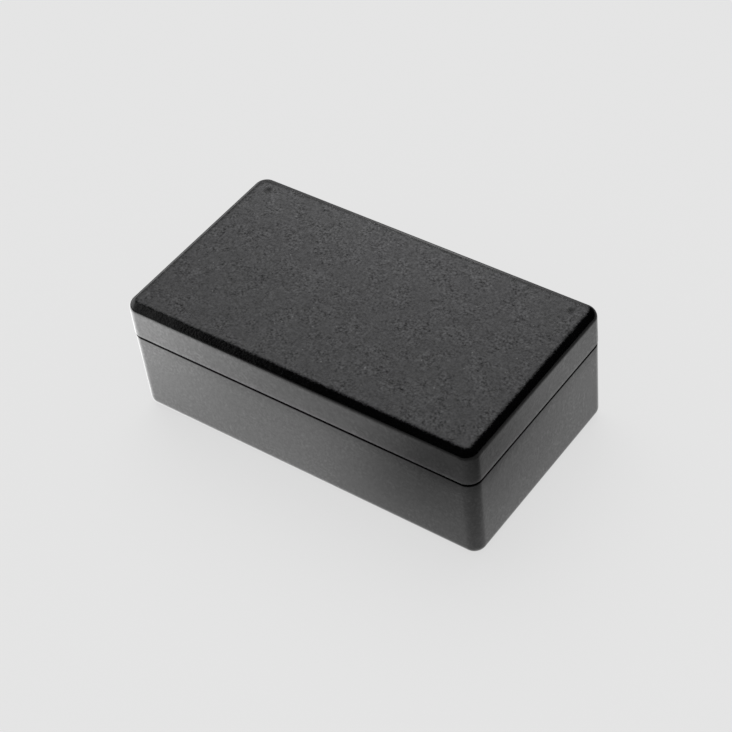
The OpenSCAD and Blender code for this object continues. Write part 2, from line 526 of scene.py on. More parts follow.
class Effects:
    """Node groups that the finishes share, each built once."""

    def __init__(self) -> None:
        """Builds the five groups."""
        self.grain = self._grain()
        self.panel = self._panel()
        self.painted_shade_places = self._painted_shade_places()
        self.specks = self._specks()
        self.haze = self._haze()

    @staticmethod
    def _grain() -> bpy.types.NodeTree:
        """Builds the fine pitting of a mould surface.

        Height is noise a grain wide and finer. Tone is noise a grain and two grains wide, as light
        and dark about zero, stronger in some patches than in others. Mottle is a slow drift of tone
        about zero.

        Returns:
            The group.
        """
        even = 0.5
        finer, fine_share = 2.3, 0.45
        wider, wide_share = 0.55, 0.4
        patches, patch_range, patch_gain = 230.0, (0.35, 0.65), (2.8, 6.4)
        drifts, drift_rough, drift_gain = 60.0, 0.55, 4.0
        inputs = {"Grains": (3000.0, 10.0, 20000.0)}
        wire = Wiring.group("mould_grain", inputs, ("Height", "Tone", "Mottle"))
        here = wire.here()
        grains = wire.given("Grains")
        coarse = wire.noise(here, grains, 1.0, even)
        fine = wire.noise(here, wire.math("MULTIPLY", grains, finer), 1.0, even)
        wide = wire.noise(here, wire.math("MULTIPLY", grains, wider), 0.0, even)
        patch = wire.spread(wire.noise(here, patches, 1.0, even), *patch_range, *patch_gain)
        slow = wire.noise(here, drifts, 3.0, drift_rough)
        rest = wire.math("MULTIPLY", coarse, 1.0 - fine_share)
        both = wire.math("MULTIPLY_ADD", wire.centred(wide), wide_share, wire.centred(coarse))
        wire.give("Height", wire.math("MULTIPLY_ADD", fine, fine_share, rest))
        wire.give("Tone", wire.math("MULTIPLY", both, patch))
        wire.give("Mottle", wire.math("MULTIPLY", wire.centred(slow), drift_gain))
        return wire.tree

    @staticmethod
    def _panel() -> bpy.types.NodeTree:
        """Builds the mask of a level panel that ends at a rounded rectangle.

        The distance out is the length of (max(|x| - half length, 0), max(|y| - half width, 0)). The
        mask is 1 where that is under Reach and z is over Level, with a slightly ragged border as
        wide as Border.

        Returns:
            The group.
        """
        rags = 2500.0
        inputs = {
            "Half Length": (0.04, 0.0, 10.0),
            "Half Width": (0.02, 0.0, 10.0),
            "Reach": (0.001, 0.0, 1.0),
            "Level": (0.03, -10.0, 10.0),
            "Border": (0.0001, 1e-6, 0.1),
        }
        wire = Wiring.group("level_panel", inputs, ("Mask",))
        parts = wire.split()
        sides = (("X", "Half Length"), ("Y", "Half Width"))
        over = [wire.math("MAXIMUM", wire.past(parts.outputs[axis], half), 0.0) for axis, half in sides]
        border = wire.given("Border")
        ragged = wire.math("MULTIPLY", wire.centred(wire.noise(wire.here(), rags, 1.0, 0.5)), border)
        inside = wire.math("SUBTRACT", wire.given("Reach"), wire.math("ADD", wire.length(*over), ragged))
        share = wire.math("ADD", wire.math("DIVIDE", inside, border), 0.5, clamp=True)
        above = wire.math("GREATER_THAN", parts.outputs["Z"], wire.given("Level"))
        wire.give("Mask", wire.math("MULTIPLY", share, above))
        return wire.tree

    @staticmethod
    def _painted_shade_places() -> bpy.types.NodeTree:
        """Builds the mask of painted shade in four round places, at plus and minus (Across X, Across Y).

        At a distance d from the middle of a place the mask is 1 - (d / Reach)^2, and never under 0, times
        Near Share for the two places on the -Y side, which get less of the painted shade.

        Returns:
            The group.
        """
        inputs = {
            "Across X": (0.04, 0.0, 10.0),
            "Across Y": (0.02, 0.0, 10.0),
            "Reach": (0.001, 1e-6, 1.0),
            "Near Share": (0.3, 0.0, 1.0),
        }
        wire = Wiring.group("four_painted_shade_places", inputs, ("Mask",))
        parts = wire.split()
        away = wire.length(*(wire.past(parts.outputs[axis], "Across " + axis) for axis in "XY"))
        out = wire.math("DIVIDE", away, wire.given("Reach"))
        inside = wire.math("SUBTRACT", 1.0, wire.math("MULTIPLY", out, out), clamp=True)
        near = wire.given("Near Share")
        far_side = wire.math("GREATER_THAN", parts.outputs["Y"], 0.0)
        depth = wire.math("MULTIPLY_ADD", far_side, wire.math("SUBTRACT", 1.0, near), near)
        wire.give("Mask", wire.math("MULTIPLY", inside, depth))
        return wire.tree

    @staticmethod
    def _specks() -> bpy.types.NodeTree:
        """Builds sparse specks of dust.

        Space is divided into cells. A cell's random tone leaves most of them empty, and a speck is
        where the distance to its cell's point is under a radius that varies from cell to cell.

        Returns:
            The group.
        """
        least, firmness = 0.35, 2.5
        limits = {"Cells": (400.0, 1.0, 10000.0), "Share": (0.05, 0.0, 1.0), "Radius": (0.0001, 0.0, 0.01)}
        wire = Wiring.group("dust_specks", limits, ("Mask",))
        inputs = {"Vector": wire.here(), "Scale": wire.given("Cells")}
        cells = wire.node("ShaderNodeTexVoronoi", inputs, feature="F1", distance="EUCLIDEAN")
        tone = wire.node("ShaderNodeSeparateColor", {0: cells.outputs["Color"]})
        held = wire.math("LESS_THAN", tone.outputs[0], wire.given("Share"))
        reach = wire.math("MULTIPLY", wire.given("Radius"), wire.math("ADD", tone.outputs[1], least))
        away = wire.math("DIVIDE", cells.outputs["Distance"], wire.given("Cells"))
        near = wire.math("SUBTRACT", 1.0, wire.math("DIVIDE", away, reach), clamp=True)
        soft = wire.math("MULTIPLY", near, firmness, clamp=True)
        wire.give("Mask", wire.math("MULTIPLY", soft, held))
        return wire.tree

    @staticmethod
    def _haze() -> bpy.types.NodeTree:
        """Builds the uneven gloss that handling leaves, as a value about zero from slow noise."""
        octaves, rough, gain = 4.0, 0.6, 2.0
        wire = Wiring.group("handling_haze", {"Patches": (45.0, 1.0, 5000.0)}, ("Haze",))
        slow = wire.noise(wire.here(), wire.given("Patches"), octaves, rough)
        wire.give("Haze", wire.math("MULTIPLY", wire.centred(slow), gain))
        return wire.tree


# ---- Finishes ----


def new_material(name: str) -> tuple[bpy.types.Material, Wiring, bpy.types.Node]:
    """Starts a material, and returns it with its wiring and its Principled shader."""
    made = bpy.data.materials.new(name)
    made.use_nodes = True
    return made, Wiring(made.node_tree), made.node_tree.nodes["Principled BSDF"]


@dataclass(frozen=True)
class ShellFinish:
    """Black moulded plastic, polished, with a matt spark-eroded panel where one is given.

    Attributes:
        name: Name of the material.
        panel: Half length, half width, reach past them and lowest height of the panel, in mm, if any.
        sinks: Places of the sink marks along and across the panel and their radius, in mm, where shade is
            painted.
        polished: Linear colour of the polished plastic.
        matt: Linear colour of the grained panel.
        dust: Linear colour of dust.
        painted_glint: Linear colour of the painted highlights on grains that catch the light.
        polished_rough: Roughness of the polished plastic.
        matt_rough: Roughness of the grained panel.
        haze_rough: How far handling changes the roughness.
        dust_rough: How much rougher dust is.
        ior: Index of refraction.
        coat: Mean weight of the gloss on the polished plastic, and how far it follows the grain.
        border: Width of the panel's border in mm.
        grains: Grains in a metre.
        grain_height: Height of the grain on the polished plastic.
        panel_height: Height of the grain on the panel.
        drift_height: Height of the slow waves.
        relief: Depth in mm of a height of 1, and the strength of its shading.
        tone_depth: Share by which single grains differ in tone.
        mottle_depth: Share by which the tone drifts.
        veil: Share of the panel's colour that drifts over the polished plastic.
        painted_sink_shade: Share of painted shade by which a sink mark is darker, and the part of it that
            near marks have.
        dust_cover: How well dust covers what is under it.
        painted_glint_cover: How strongly a painted highlight shows.
    """

    name: str
    panel: tuple[float, float, float, float] | None = None
    sinks: Triple = (0.0, 0.0, 0.0)
    polished: Triple = (0.0011, 0.0011, 0.0012)
    matt: Triple = (0.0385, 0.0385, 0.0395)
    dust: Triple = (0.42, 0.41, 0.39)
    painted_glint: Triple = (0.5, 0.5, 0.49)
    polished_rough: float = 0.09
    matt_rough: float = 0.62
    haze_rough: float = 0.03
    dust_rough: float = 0.3
    ior: float = 1.55
    coat: Pair = (0.09, 0.17)
    border: float = 0.9
    grains: float = 1900.0
    grain_height: float = 1.2
    panel_height: float = 1.0
    drift_height: float = 1.5
    relief: Pair = (0.04, 0.5)
    tone_depth: float = 0.42
    mottle_depth: float = 0.035
    veil: float = 0.1
    painted_sink_shade: Pair = (0.65, 0.25)
    dust_cover: float = 0.35
    painted_glint_cover: float = 0.12

    def _panel_colour(self, wire: Wiring, effects: Effects, grain: bpy.types.Node) -> Socket:
        """Works out the panel's colour: its plain colour times the grain, the drift and the painted shade
        over the sinks.

        Args:
            wire: Wiring of the material.
            effects: Shared node groups.
            grain: Node of the grain.

        Returns:
            The colour.
        """
        tone = wire.math("MULTIPLY_ADD", grain.outputs["Tone"], self.tone_depth, 1.0)
        drift = wire.math("MULTIPLY_ADD", grain.outputs["Mottle"], self.mottle_depth, tone)
        along, across, radius = (value * MM for value in self.sinks)
        # Painted shade: the colour is darkened in a round patch over each sink mark, less on the two near
        # marks.
        shade, near = self.painted_sink_shade
        sink = wire.effect(effects.painted_shade_places, Across_X=along, Across_Y=across, Reach=radius, Near_Share=near)
        drift = wire.math("MULTIPLY", drift, wire.math("MULTIPLY_ADD", sink.outputs["Mask"], -shade, 1.0))
        inputs = {0: self.matt, "Scale": drift}
        return wire.node("ShaderNodeVectorMath", inputs, operation="SCALE").outputs[0]

    def _panel_mask(self, wire: Wiring, effects: Effects) -> Socket:
        """Places the panel's mask and returns its output."""
        length, width, reach, level = (value * MM for value in self.panel)
        made = wire.effect(effects.panel, Half_Length=length, Half_Width=width, Reach=reach, Level=level)
        wire.feed(made.inputs["Border"], self.border * MM)
        return made.outputs["Mask"]

    def build(self, effects: Effects) -> bpy.types.Material:
        """Builds the material.

        Args:
            effects: Shared node groups.

        Returns:
            The material.
        """
        made, wire, shader = new_material(self.name)
        shader.inputs["IOR"].default_value = self.ior
        shader.inputs["Coat Roughness"].default_value = self.polished_rough
        grain = wire.effect(effects.grain, Grains=self.grains)
        haze = wire.effect(effects.haze, Patches=45.0).outputs["Haze"]
        dust = wire.effect(effects.specks, Cells=300.0, Share=0.022, Radius=0.00016).outputs["Mask"]
        cover = wire.math("MULTIPLY", dust, self.dust_cover)
        rough = wire.math("MULTIPLY_ADD", haze, self.haze_rough, self.polished_rough)
        coat = wire.math("MULTIPLY_ADD", grain.outputs["Tone"], self.coat[1], self.coat[0], clamp=True)
        polished = (*self.polished, 1.0)
        if self.panel is None:
            share = wire.math("MULTIPLY", grain.outputs["Mottle"], self.veil, clamp=True)
            colour = wire.mixed(share, polished, (*self.matt, 1.0))
            colour = wire.mixed(cover, colour, (*self.dust, 1.0))
            height = wire.math("MULTIPLY", grain.outputs["Height"], self.grain_height)
        else:
            mask = self._panel_mask(wire, effects)
            colour = wire.mixed(mask, polished, self._panel_colour(wire, effects, grain))
            colour = wire.mixed(cover, colour, (*self.dust, 1.0))
            # Painted highlights: sparse grains on the panel are lightened in colour as if they catch the
            # light.
            painted_glints = wire.effect(effects.specks, Cells=900.0, Share=0.12, Radius=0.00018).outputs["Mask"]
            share = wire.math("MULTIPLY", painted_glints, wire.math("MULTIPLY", mask, self.painted_glint_cover))
            colour = wire.mixed(share, colour, (*self.painted_glint, 1.0))
            rough = wire.math("MULTIPLY_ADD", mask, self.matt_rough - self.polished_rough, rough)
            coat = wire.math("MULTIPLY", coat, wire.math("SUBTRACT", 1.0, mask))
            drop = self.panel_height - self.grain_height
            gain = wire.math("MULTIPLY_ADD", mask, drop, self.grain_height)
            height = wire.math("MULTIPLY", grain.outputs["Height"], gain)
        wire.feed(shader.inputs["Base Color"], colour)
        wire.feed(shader.inputs["Roughness"], wire.math("MULTIPLY_ADD", dust, self.dust_rough, rough))
        wire.feed(shader.inputs["Coat Weight"], coat)
        height = wire.math("MULTIPLY_ADD", grain.outputs["Mottle"], self.drift_height, height)
        wire.bump(shader, height, self.relief)
        return made


@dataclass(frozen=True)
class ScrewFinish:
    """Zinc-plated steel with fine pitting and dulled patches.

    Attributes:
        name: Name of the material.
        bright: Linear colour of the plating.
        dull: Linear colour where it has dulled.
        rough: Roughness of the plating.
        dull_rough: How much rougher dull patches are.
        dull_share: Mean share that is dull, and how far it varies.
        relief: Depth in mm of a height of 1, and the strength of its shading.
    """

    name: str
    bright: Triple = (0.62, 0.62, 0.60)
    dull: Triple = (0.38, 0.37, 0.34)
    rough: float = 0.30
    dull_rough: float = 0.2
    dull_share: Pair = (0.35, 0.9)
    relief: Pair = (0.02, 0.3)

    def build(self, effects: Effects) -> bpy.types.Material:
        """Builds the material.

        Args:
            effects: Shared node groups.

        Returns:
            The material.
        """
        made, wire, shader = new_material(self.name)
        shader.inputs["Metallic"].default_value = 1.0
        grain = wire.effect(effects.grain, Grains=6000.0)
        haze = wire.effect(effects.haze, Patches=700.0).outputs["Haze"]
        worn = wire.math("MULTIPLY_ADD", haze, self.dull_share[1], self.dull_share[0], clamp=True)
        colour = wire.mixed(worn, (*self.bright, 1.0), (*self.dull, 1.0))
        wire.feed(shader.inputs["Base Color"], colour)
        wire.feed(shader.inputs["Roughness"], wire.math("MULTIPLY_ADD", worn, self.dull_rough, self.rough))
        wire.bump(shader, grain.outputs["Height"], self.relief)
        return made


# ---- The case ----


@dataclass(frozen=True)
class CaseSizes:
    """Sizes that the base, the lid and the screws share, in mm.

    Attributes:
        turn_x: Half length of the rectangle that the corners turn about.
        turn_y: Half width of that rectangle.
        height: Height of the closed case.
        seam: Height of the middle of the seam.
        gap: Height of the open groove.
        wall: Thickness of the walls, the floor and the top.
        inner_r: Radius of the edges round the floor and the ceiling.
        tongue_top: Height of the tongue's top.
        screw_x: Distance of the screws from the middle, along the case.
        screw_y: Distance of the screws from the middle, across the case.
        pillar_r: Radius of the screw pillars.
        sink_r: Radius of the sink marks over them.
        cut: Overrun of a cutting tool past the face that it opens.
        edge_steps: Chords in the arc of an outer edge.
        inner_steps: Chords in the arc of an inner edge.
        wide_places: Places round a pillar or a well.
        small_places: Places round a boss or a hole.
    """

    turn_x: float = 41.8
    turn_y: float = 21.8
    height: float = 31.0
    seam: float = 22.0
    gap: float = 0.5
    wall: float = 2.0
    inner_r: float = 0.6
    tongue_top: float = 23.5
    screw_x: float = 40.0
    screw_y: float = 20.6
    pillar_r: float = 3.8
    sink_r: float = 1.25
    cut: float = 1.0
    edge_steps: int = 26
    inner_steps: int = 8
    wide_places: int = 64
    small_places: int = 48

    def path(self) -> TurnPath:
        """Lays out the path, divided finely over the pillars and at each end of a side."""
        along_x = stations(self.turn_x, ((0.0, 34.0, 10), (34.0, 38.0, 4), (38.0, self.turn_x, 19)))
        along_y = stations(self.turn_y, ((0.0, 15.0, 5), (15.0, 18.6, 4), (18.6, self.turn_y, 16)))
        return TurnPath(along_x, along_y)

    def quadrants(self, x: float, y: float) -> list[Pair]:
        """Lists the four places at plus and minus (x, y)."""
        return [(sx * x, sy * y) for sx in (-1.0, 1.0) for sy in (-1.0, 1.0)]

    def core(self, reach: float, low: float, high: float) -> bpy.types.Object:
        """Makes a solid block that ends reach out from the turn lines.

        Args:
            reach: Distance out in mm.
            low: Lower height in mm.
            high: Upper height in mm.

        Returns:
            The block.
        """
        path = TurnPath(np.array([-self.turn_x, self.turn_x]), np.array([-self.turn_y, self.turn_y]), 12)
        section = np.array([(0.0, low), (reach, low), (reach, high), (0.0, high)])
        return solid("core", [path.carried(section), path.panel(low), path.panel(high)])

    def posts(self, place: Pair, radius: float, low: float, high: float, places: int) -> bpy.types.Object:
        """Makes four upright round posts as one object.

        Args:
            place: Distances from the middle along and across the case.
            radius: Radius of a post.
            low: Lower height.
            high: Upper height.
            places: Number of places round each post.

        Returns:
            The posts.
        """
        section = np.array([(0.0, low), (radius, low), (radius, high), (0.0, high)])
        return solid("posts", [turned(section, places, centre) for centre in self.quadrants(*place)])

    def screw_posts(self, radius: float, low: float, high: float, places: int) -> bpy.types.Object:
        """Makes posts as above on the axes of the four screws."""
        return self.posts((self.screw_x, self.screw_y), radius, low, high, places)


@dataclass
class Lid:
    """Shallow upper shell, with sink marks over its pillars and a rebate round its rim.

    Attributes:
        sizes: Sizes shared with the other pieces.
        finish: What it is moulded in.
        out: How far its rim stands out from the turn line.
        draft: Taper of its walls.
        edge_r: Radius round the top face.
        lip_r: Radius on the rim's outer edge.
        lip_steps: Chords in its arc.
        rebate: Distances out of the rebate's inner and outer sides.
        pillar_gap: Drop from the pillars' lower ends to the seam.
        pilot_r: Radius of the pilot holes.
        pilot_top: Height of their blind ends.
        sink_depth: Depth of a sink mark.
    """

    sizes: CaseSizes
    finish: ShellFinish
    out: float = 3.2
    draft: float = 0.05
    edge_r: float = 2.0
    lip_r: float = 0.1
    lip_steps: int = 6
    rebate: Pair = (1.0, 2.2)
    pillar_gap: float = 0.2
    pilot_r: float = 1.1
    pilot_top: float = 28.0
    sink_depth: float = 0.1

    def shell(self) -> bpy.types.Object:
        """Makes the outside, the rim and the inside as one closed surface.

        Returns:
            The shell without its pillars and rebate.
        """
        sizes = self.sizes
        path = sizes.path()
        low = sizes.seam + sizes.gap / 2.0
        top = sizes.height
        ceiling = top - sizes.wall
        rim = self.out
        inner = rim - sizes.wall
        outside = wall_run(rim - self.draft, rim, low, top, self.edge_r, Rest.HIGH, sizes.edge_steps)[:-1]
        rings, margin = 6, 0.15
        flat = line((0.0, top), (float(outside[0, 0]) - margin, top), rings)
        lip = arc((rim - self.lip_r, low + self.lip_r), self.lip_r, 0.0, -90.0, self.lip_steps)
        inside = wall_run(
            inner - self.draft, inner, low, ceiling, sizes.inner_r, Rest.HIGH, sizes.inner_steps
        )[::-1]
        section = np.concatenate([flat, outside, lip, inside, np.array([(0.0, ceiling)])])
        skirt, skirt_faces = path.carried(section)
        panel, panel_faces = path.panel(top)
        self._sink(skirt)
        self._sink(panel)
        return solid("lid_shell", [(skirt, skirt_faces), (panel, panel_faces), path.panel(ceiling)])

    def _sink(self, grid: np.ndarray) -> None:
        """Lowers the top face over each pillar, in place.

        The drop at a distance d from the pillar's axis is depth * (1 - (d / radius)^2)^2 inside the
        radius and nothing outside it, and it applies to points that lie on the top face.

        Args:
            grid: Points (rows, columns, 3) in mm.
        """
        sizes = self.sizes
        slack = 0.002
        level = grid[:, :, 2] > sizes.height - slack
        for x, y in sizes.quadrants(sizes.screw_x, sizes.screw_y):
            away = np.hypot(grid[:, :, 0] - x, grid[:, :, 1] - y) / sizes.sink_r
            drop = self.sink_depth * np.clip(1.0 - away**2, 0.0, 1.0) ** 2
            grid[:, :, 2] -= np.where(level, drop, 0.0)

    def build(self, effects: Effects) -> bpy.types.Object:
        """Makes the lid, dresses it and seats it in the frame.

        Args:
            effects: Shared node groups.

        Returns:
            The lid.
        """
        sizes = self.sizes
        piece = self.shell()
        below = sizes.seam + sizes.gap / 2.0 - sizes.cut
        root = sizes.height - 0.75 * sizes.wall
        near, far = self.rebate
        mouth = sizes.tongue_top
        groove = np.array([(near, below), (far, below), (far, mouth), (near, mouth), (near, below)])
        foot = sizes.seam + self.pillar_gap
        combine(piece, sizes.screw_posts(sizes.pillar_r, foot, root, sizes.wide_places), Blend.JOIN)
        combine(piece, solid("groove", [sizes.path().carried(groove)]), Blend.CUT)
        pilots = sizes.screw_posts(self.pilot_r, below, self.pilot_top, sizes.small_places)
        combine(piece, pilots, Blend.CUT)
        finish_mesh(piece)
        piece.data.materials.append(self.finish.build(effects))
        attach(piece, "root")
        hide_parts("lid")
        log.info("lid: %d faces", len(piece.data.polygons))
        return piece


@dataclass
class Base:
    """Deep lower shell with the tongue round its rim, and what it holds inside.

    Attributes:
        sizes: Sizes shared with the other pieces.
        finish: What it is moulded in.
        out: How far its rim stands out from the turn line.
        draft: Taper of its walls.
        edge_r: Radius round the underside.
        lip_r: Radius on the rim's outer edge.
        lip_steps: Chords in its arc.
        tongue: Distances out of the tongue's inner and outer sides.
        lead_in: Chamfer on the tongue's two upper edges.
        well: Radius and depth of the screw wells.
        shank_hole_r: Radius of the holes above the wells.
        core_reach: Distance out past which a pillar is cut off inside the wall.
        boss: Distances of the board bosses from the middle, along and across the case.
        boss_r: Radius of a boss.
        boss_top: Height of its top.
        boss_hole: Radius and lowest height of its hole.
        boss_hole_places: Places round that hole.
        guide_x: Distance of the guide slots from the middle.
        guide_y: Distances of a rib's inner and outer ends from the middle.
        guide_top: Height of a rib's top.
        rib: Distance of a rib's middle from the slot's middle, and half its width.
    """

    sizes: CaseSizes
    finish: ShellFinish
    out: float = 3.1
    draft: float = 0.15
    edge_r: float = 2.5
    lip_r: float = 0.4
    lip_steps: int = 8
    tongue: Pair = (1.1, 2.1)
    lead_in: float = 0.1
    well: Pair = (2.6, 11.0)
    shank_hole_r: float = 1.5
    core_reach: float = 1.6
    boss: Pair = (31.0, 16.0)
    boss_r: float = 2.5
    boss_top: float = 6.0
    boss_hole: Pair = (0.95, 1.5)
    boss_hole_places: int = 32
    guide_x: float = 20.0
    guide_y: Pair = (21.4, 23.4)
    guide_top: float = 20.0
    rib: Pair = (1.5, 0.6)

    def shell(self) -> bpy.types.Object:
        """Makes the outside, the rim with its tongue and the inside as one closed surface.

        Returns:
            The shell with nothing in it.
        """
        sizes = self.sizes
        path = sizes.path()
        floor = sizes.wall
        rim = self.out
        inner = rim - sizes.wall
        shoulder = sizes.seam - sizes.gap / 2.0
        steps = sizes.edge_steps
        outside = wall_run(rim - self.draft, rim, 0.0, shoulder, self.edge_r, Rest.LOW, steps)[:-1]
        outside[-1, 1] = min(outside[-1, 1], shoulder - self.lip_r)
        rings, margin = 2, 0.1
        flat = line((0.0, 0.0), (float(outside[0, 0]) - margin, 0.0), rings)
        lip = arc((rim - self.lip_r, shoulder - self.lip_r), self.lip_r, 0.0, 90.0, self.lip_steps)
        near, far = self.tongue
        top = sizes.tongue_top
        bevel = self.lead_in
        tongue = [(far, shoulder), (far, top - bevel), (far - bevel, top)]
        tongue += [(near + bevel, top), (near, top - bevel)]
        inside = wall_run(
            inner - self.draft, inner, floor, shoulder, sizes.inner_r, Rest.LOW, sizes.inner_steps
        )[::-1]
        section = np.concatenate([flat, outside, lip, np.array(tongue), inside, np.array([(0.0, floor)])])
        return solid("base_shell", [path.carried(section), path.panel(0.0), path.panel(floor)])

    def guides(self) -> bpy.types.Object:
        """Makes the ribs that hold a board standing across the case, in pairs on both long walls.

        Returns:
            The eight ribs as one object.
        """
        offset, half = self.rib
        near, far = self.guide_y
        ribs = []
        for x, side in self.sizes.quadrants(self.guide_x, 1.0):
            low_y, high_y = sorted((side * near, side * far))
            for middle in (x - offset, x + offset):
                low = (middle - half, low_y, self.sizes.wall / 2.0)
                ribs.append(block(low, (middle + half, high_y, self.guide_top)))
        return solid("ribs", ribs)

    def build(self, effects: Effects) -> bpy.types.Object:
        """Makes the base, dresses it and seats it in the frame.

        Args:
            effects: Shared node groups.

        Returns:
            The base.
        """
        sizes = self.sizes
        wide, small = sizes.wide_places, sizes.small_places
        root = sizes.wall / 2.0
        over = sizes.seam + sizes.cut
        piece = self.shell()
        pillars = sizes.screw_posts(sizes.pillar_r, root, sizes.seam, wide)
        combine(pillars, sizes.core(self.core_reach, root / 2.0, over), Blend.KEEP)
        combine(piece, pillars, Blend.JOIN)
        combine(piece, sizes.posts(self.boss, self.boss_r, root, self.boss_top, small), Blend.JOIN)
        combine(piece, self.guides(), Blend.JOIN)
        well_r, seat = self.well
        combine(piece, sizes.screw_posts(well_r, -sizes.cut, seat, wide), Blend.CUT)
        inside_well = (seat - sizes.cut) / 2.0
        combine(piece, sizes.screw_posts(self.shank_hole_r, inside_well, over, small), Blend.CUT)
        hole_r, hole_end = self.boss_hole
        holes = sizes.posts(self.boss, hole_r, hole_end, self.boss_top + sizes.cut, self.boss_hole_places)
        combine(piece, holes, Blend.CUT)
        finish_mesh(piece)
        piece.data.materials.append(self.finish.build(effects))
        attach(piece, "root")
        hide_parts("base")
        log.info("base: %d faces", len(piece.data.polygons))
        return piece


@dataclass
class CaseScrews:
    """Four pan-head thread-forming screws, driven up from the underside.

    Attributes:
        sizes: Sizes shared with the other pieces.
        finish: What they are made of.
        seat: Height of the face under the heads.
        length: Length under the head.
        core_r: Radius of the thread's core.
        crest_r: Radius of the thread's crest.
        pitch: Rise of the thread in a turn.
        plain: Length of plain shank under the head.
        point: Length of the point.
        head_r: Radius of the head.
        head_h: Height of the head.
        dome: Radius of the head's dome over that of the head.
        side_h: Height of the head's upright side over the dome.
        rim_r: Radius of the edge under the head.
        neck: How far the shank's root stands out from its core, and its height.
        arms: Angles of the cross recess's two arms, in degrees.
        arm_size: Half length and half width of an arm as shares of the head's radius, and its
            depth as a share of the head's height.
        arm_taper: Share of that size just outside the mouth, and at the bottom.
    """

    sizes: CaseSizes
    finish: ScrewFinish
    seat: float = 11.0
    length: float = 16.0
    core_r: float = 1.05
    crest_r: float = 1.3
    pitch: float = 1.0
    plain: float = 0.35
    point: float = 2.1
    head_r: float = 2.3
    head_h: float = 1.8
    dome: float = 1.7
    side_h: float = 0.15
    rim_r: float = 0.12
    neck: Pair = (0.3, 0.1)
    arms: Pair = (20.0, 110.0)
    arm_size: Triple = (0.56, 0.13, 0.6)
    arm_taper: Pair = (1.15, 0.72)

    def head(self) -> np.ndarray:
        """Works out the section of the head, from the middle of its dome to the plain shank.

        Returns:
            Points (r, z), with z measured from the seat.
        """
        dome_r = self.head_r * self.dome
        dip = dome_r - math.sqrt(dome_r**2 - self.head_r**2)
        tilt = np.linspace(0.0, math.asin(self.head_r / dome_r), 9)
        dome = np.stack([dome_r * np.sin(tilt), dome_r * (1.0 - np.cos(tilt)) - self.head_h], axis=1)
        side = np.array([(self.head_r, dip - self.head_h + self.side_h)])
        rim = arc((self.head_r - self.rim_r, -self.rim_r), self.rim_r, 0.0, 90.0, 4)
        wide, tall = self.neck
        neck = np.array([(self.core_r + wide, 0.0), (self.core_r, tall)])
        return np.concatenate([dome, side, rim, neck])

    def shank(self, centre: Pair) -> Surface:
        """Works out the head and the threaded shank as one surface.

        Below the seat the radius follows the head's section. Above it the radius is the core's
        plus (crest - core) * w^3, where w is (1 + cos(2 pi z / pitch - a)) / 2 at the angle a. The
        thread grows over the first turn, and at the end the whole runs down to the point.

        Args:
            centre: Where the screw stands in mm.

        Returns:
            Grid of points and the faces between them.
        """
        rise = np.linspace(self.plain, self.length, 240)
        angle = np.linspace(0.0, 2.0 * math.pi, 40, endpoint=False)
        wave = 0.5 + 0.5 * np.cos(2.0 * math.pi * rise[:, None] / self.pitch - angle[None, :])
        grown = np.clip((rise - self.plain) / self.pitch, 0.0, 1.0)[:, None]
        left = np.clip((self.length - rise) / self.point, 0.0, 1.0)[:, None]
        thread = (self.core_r + (self.crest_r - self.core_r) * grown * wave**3) * left
        section = self.head()
        radius = np.concatenate([np.broadcast_to(section[:, 0, None], (len(section), len(angle))), thread])
        tall = self.seat + np.concatenate([section[:, 1], rise])[:, None]
        x = centre[0] + radius * np.cos(angle)
        y = centre[1] + radius * np.sin(angle)
        points = np.stack([x, y, np.broadcast_to(tall, radius.shape)], axis=2)
        return points, grid_faces(points, wrap=True)

    def recess(self, centre: Pair, turn: float) -> Surface:
        """Works out one arm of a cross recess, narrower at its bottom than at its mouth.

        Args:
            centre: Where the screw stands in mm.
            turn: Angle of the arm in degrees.

        Returns:
            Its points and faces.
        """
        length, width, depth = self.arm_size
        mouth, bottom = self.arm_taper
        outside = 0.5
        deep = outside + depth * self.head_h
        points, faces = block((-1.0, -1.0, 0.0), (1.0, 1.0, 1.0))
        taper = np.where(points[:, 2] > 0.5, bottom, mouth)
        x = points[:, 0] * (self.head_r * length) * taper
        y = points[:, 1] * (self.head_r * width) * taper
        swing = math.radians(turn)
        spun_x = centre[0] + x * math.cos(swing) - y * math.sin(swing)
        spun_y = centre[1] + x * math.sin(swing) + y * math.cos(swing)
        z = self.seat - self.head_h - outside + points[:, 2] * deep
        return np.stack([spun_x, spun_y, z], axis=1), faces

    def build(self, effects: Effects) -> bpy.types.Object:
        """Makes the screws, dresses them and seats them in the frame.

        Args:
            effects: Shared node groups.

        Returns:
            The four screws as one object.
        """
        places = self.sizes.quadrants(self.sizes.screw_x, self.sizes.screw_y)
        piece = solid("case_screw_set", [self.shank(centre) for centre in places])
        for turn in self.arms:
            combine(piece, solid("recess", [self.recess(centre, turn) for centre in places]), Blend.CUT)
        finish_mesh(piece, sharp=40.0)
        piece.data.materials.append(self.finish.build(effects))
        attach(piece, "root")
        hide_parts("case_screws")
        log.info("case screws: %d faces", len(piece.data.polygons))
        return piece


# ---- Studio ----


def placed(name: str, data: bpy.types.ID, axes: Axes, place: np.ndarray) -> bpy.types.Object:
    """Puts a camera or a lamp into the scene.

    Args:
        name: Name of the object.
        data: The camera or the lamp.
        axes: Its own X, Y and Z ways. It looks against the last.
        place: Where it stands, in metres.

    Returns:
        The object.
    """
    matrix = np.eye(4)
    matrix[:3, :3] = np.stack(axes, axis=1)
    matrix[:3, 3] = place
    made = bpy.data.objects.new(name, data)
    made.matrix_world = Matrix(matrix.tolist())
    bpy.context.scene.collection.objects.link(made)
    return made


def facing(way: np.ndarray, beside: Triple) -> Axes:
    """Works out the axes of a lamp that shines against a way.

    Args:
        way: Way from the case to the lamp.
        beside: Any way that isn't along it.

    Returns:
        The lamp's X, Y and Z ways, of which X is square to both of the given ones.
    """
    back = way / np.linalg.norm(way)
    side = np.cross(beside, back)
    side = side / np.linalg.norm(side)
    return side, np.cross(back, side), back


